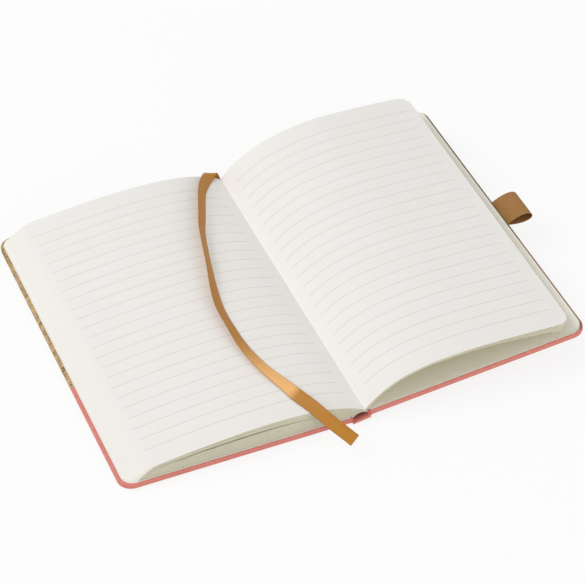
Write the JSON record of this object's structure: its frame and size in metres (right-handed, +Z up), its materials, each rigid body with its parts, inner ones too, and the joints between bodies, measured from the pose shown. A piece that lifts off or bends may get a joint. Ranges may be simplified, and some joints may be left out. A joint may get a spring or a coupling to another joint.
{
  "type": "open hardcover notebook",
  "caption": "Ruled hardcover notebook lying open, with cork and smooth two-tone covers, an elastic pen loop and a satin bookmark ribbon.",
  "frame": {"origin": "centre of the bounding box at its bottom, where the front cover lies on the table, the ribbon left out", "axes": "+X from the front cover's fore edge towards the rear cover's, +Y from tail to head along the spine, +Z up"},
  "size_m": [0.2836, 0.2364, 0.0328],
  "materials": {
    "greyboard": "matt",
    "cork": "matt, speckled cork sheet",
    "coral_sheet": "satin, smooth coated sheet",
    "paper": "matt",
    "satin_ribbon": "satin sheen",
    "elastic_band": "matt, ribbed weave"
  },
  "bodies": {
    "text_block": {"pages": "paper", "spine_lining": "paper", "ribbon_bookmark": "satin_ribbon", "spine_strip": "greyboard", "spine_cork": "cork", "spine_coral": "coral_sheet"},
    "front_cover": {"front_board": "greyboard", "front_cork": "cork", "front_coral": "coral_sheet", "front_endpaper": "paper"},
    "rear_cover": {"rear_board": "greyboard", "rear_cork": "cork", "rear_coral": "coral_sheet", "rear_endpaper": "paper", "pen_loop": "elastic_band"}
  },
  "joints": [
    {"name": "front_hinge", "type": "hinge", "parent": "text_block", "child": "front_cover", "pos_m": [-0.01281, 0, 0], "axis": [0, -1, 0], "range_deg": [0, 90]},
    {"name": "rear_hinge", "type": "hinge", "parent": "text_block", "child": "rear_cover", "pos_m": [-0.00181, 0, 0.0018], "axis": [0, 1, 0], "range_deg": [0, 90]}
  ]
}
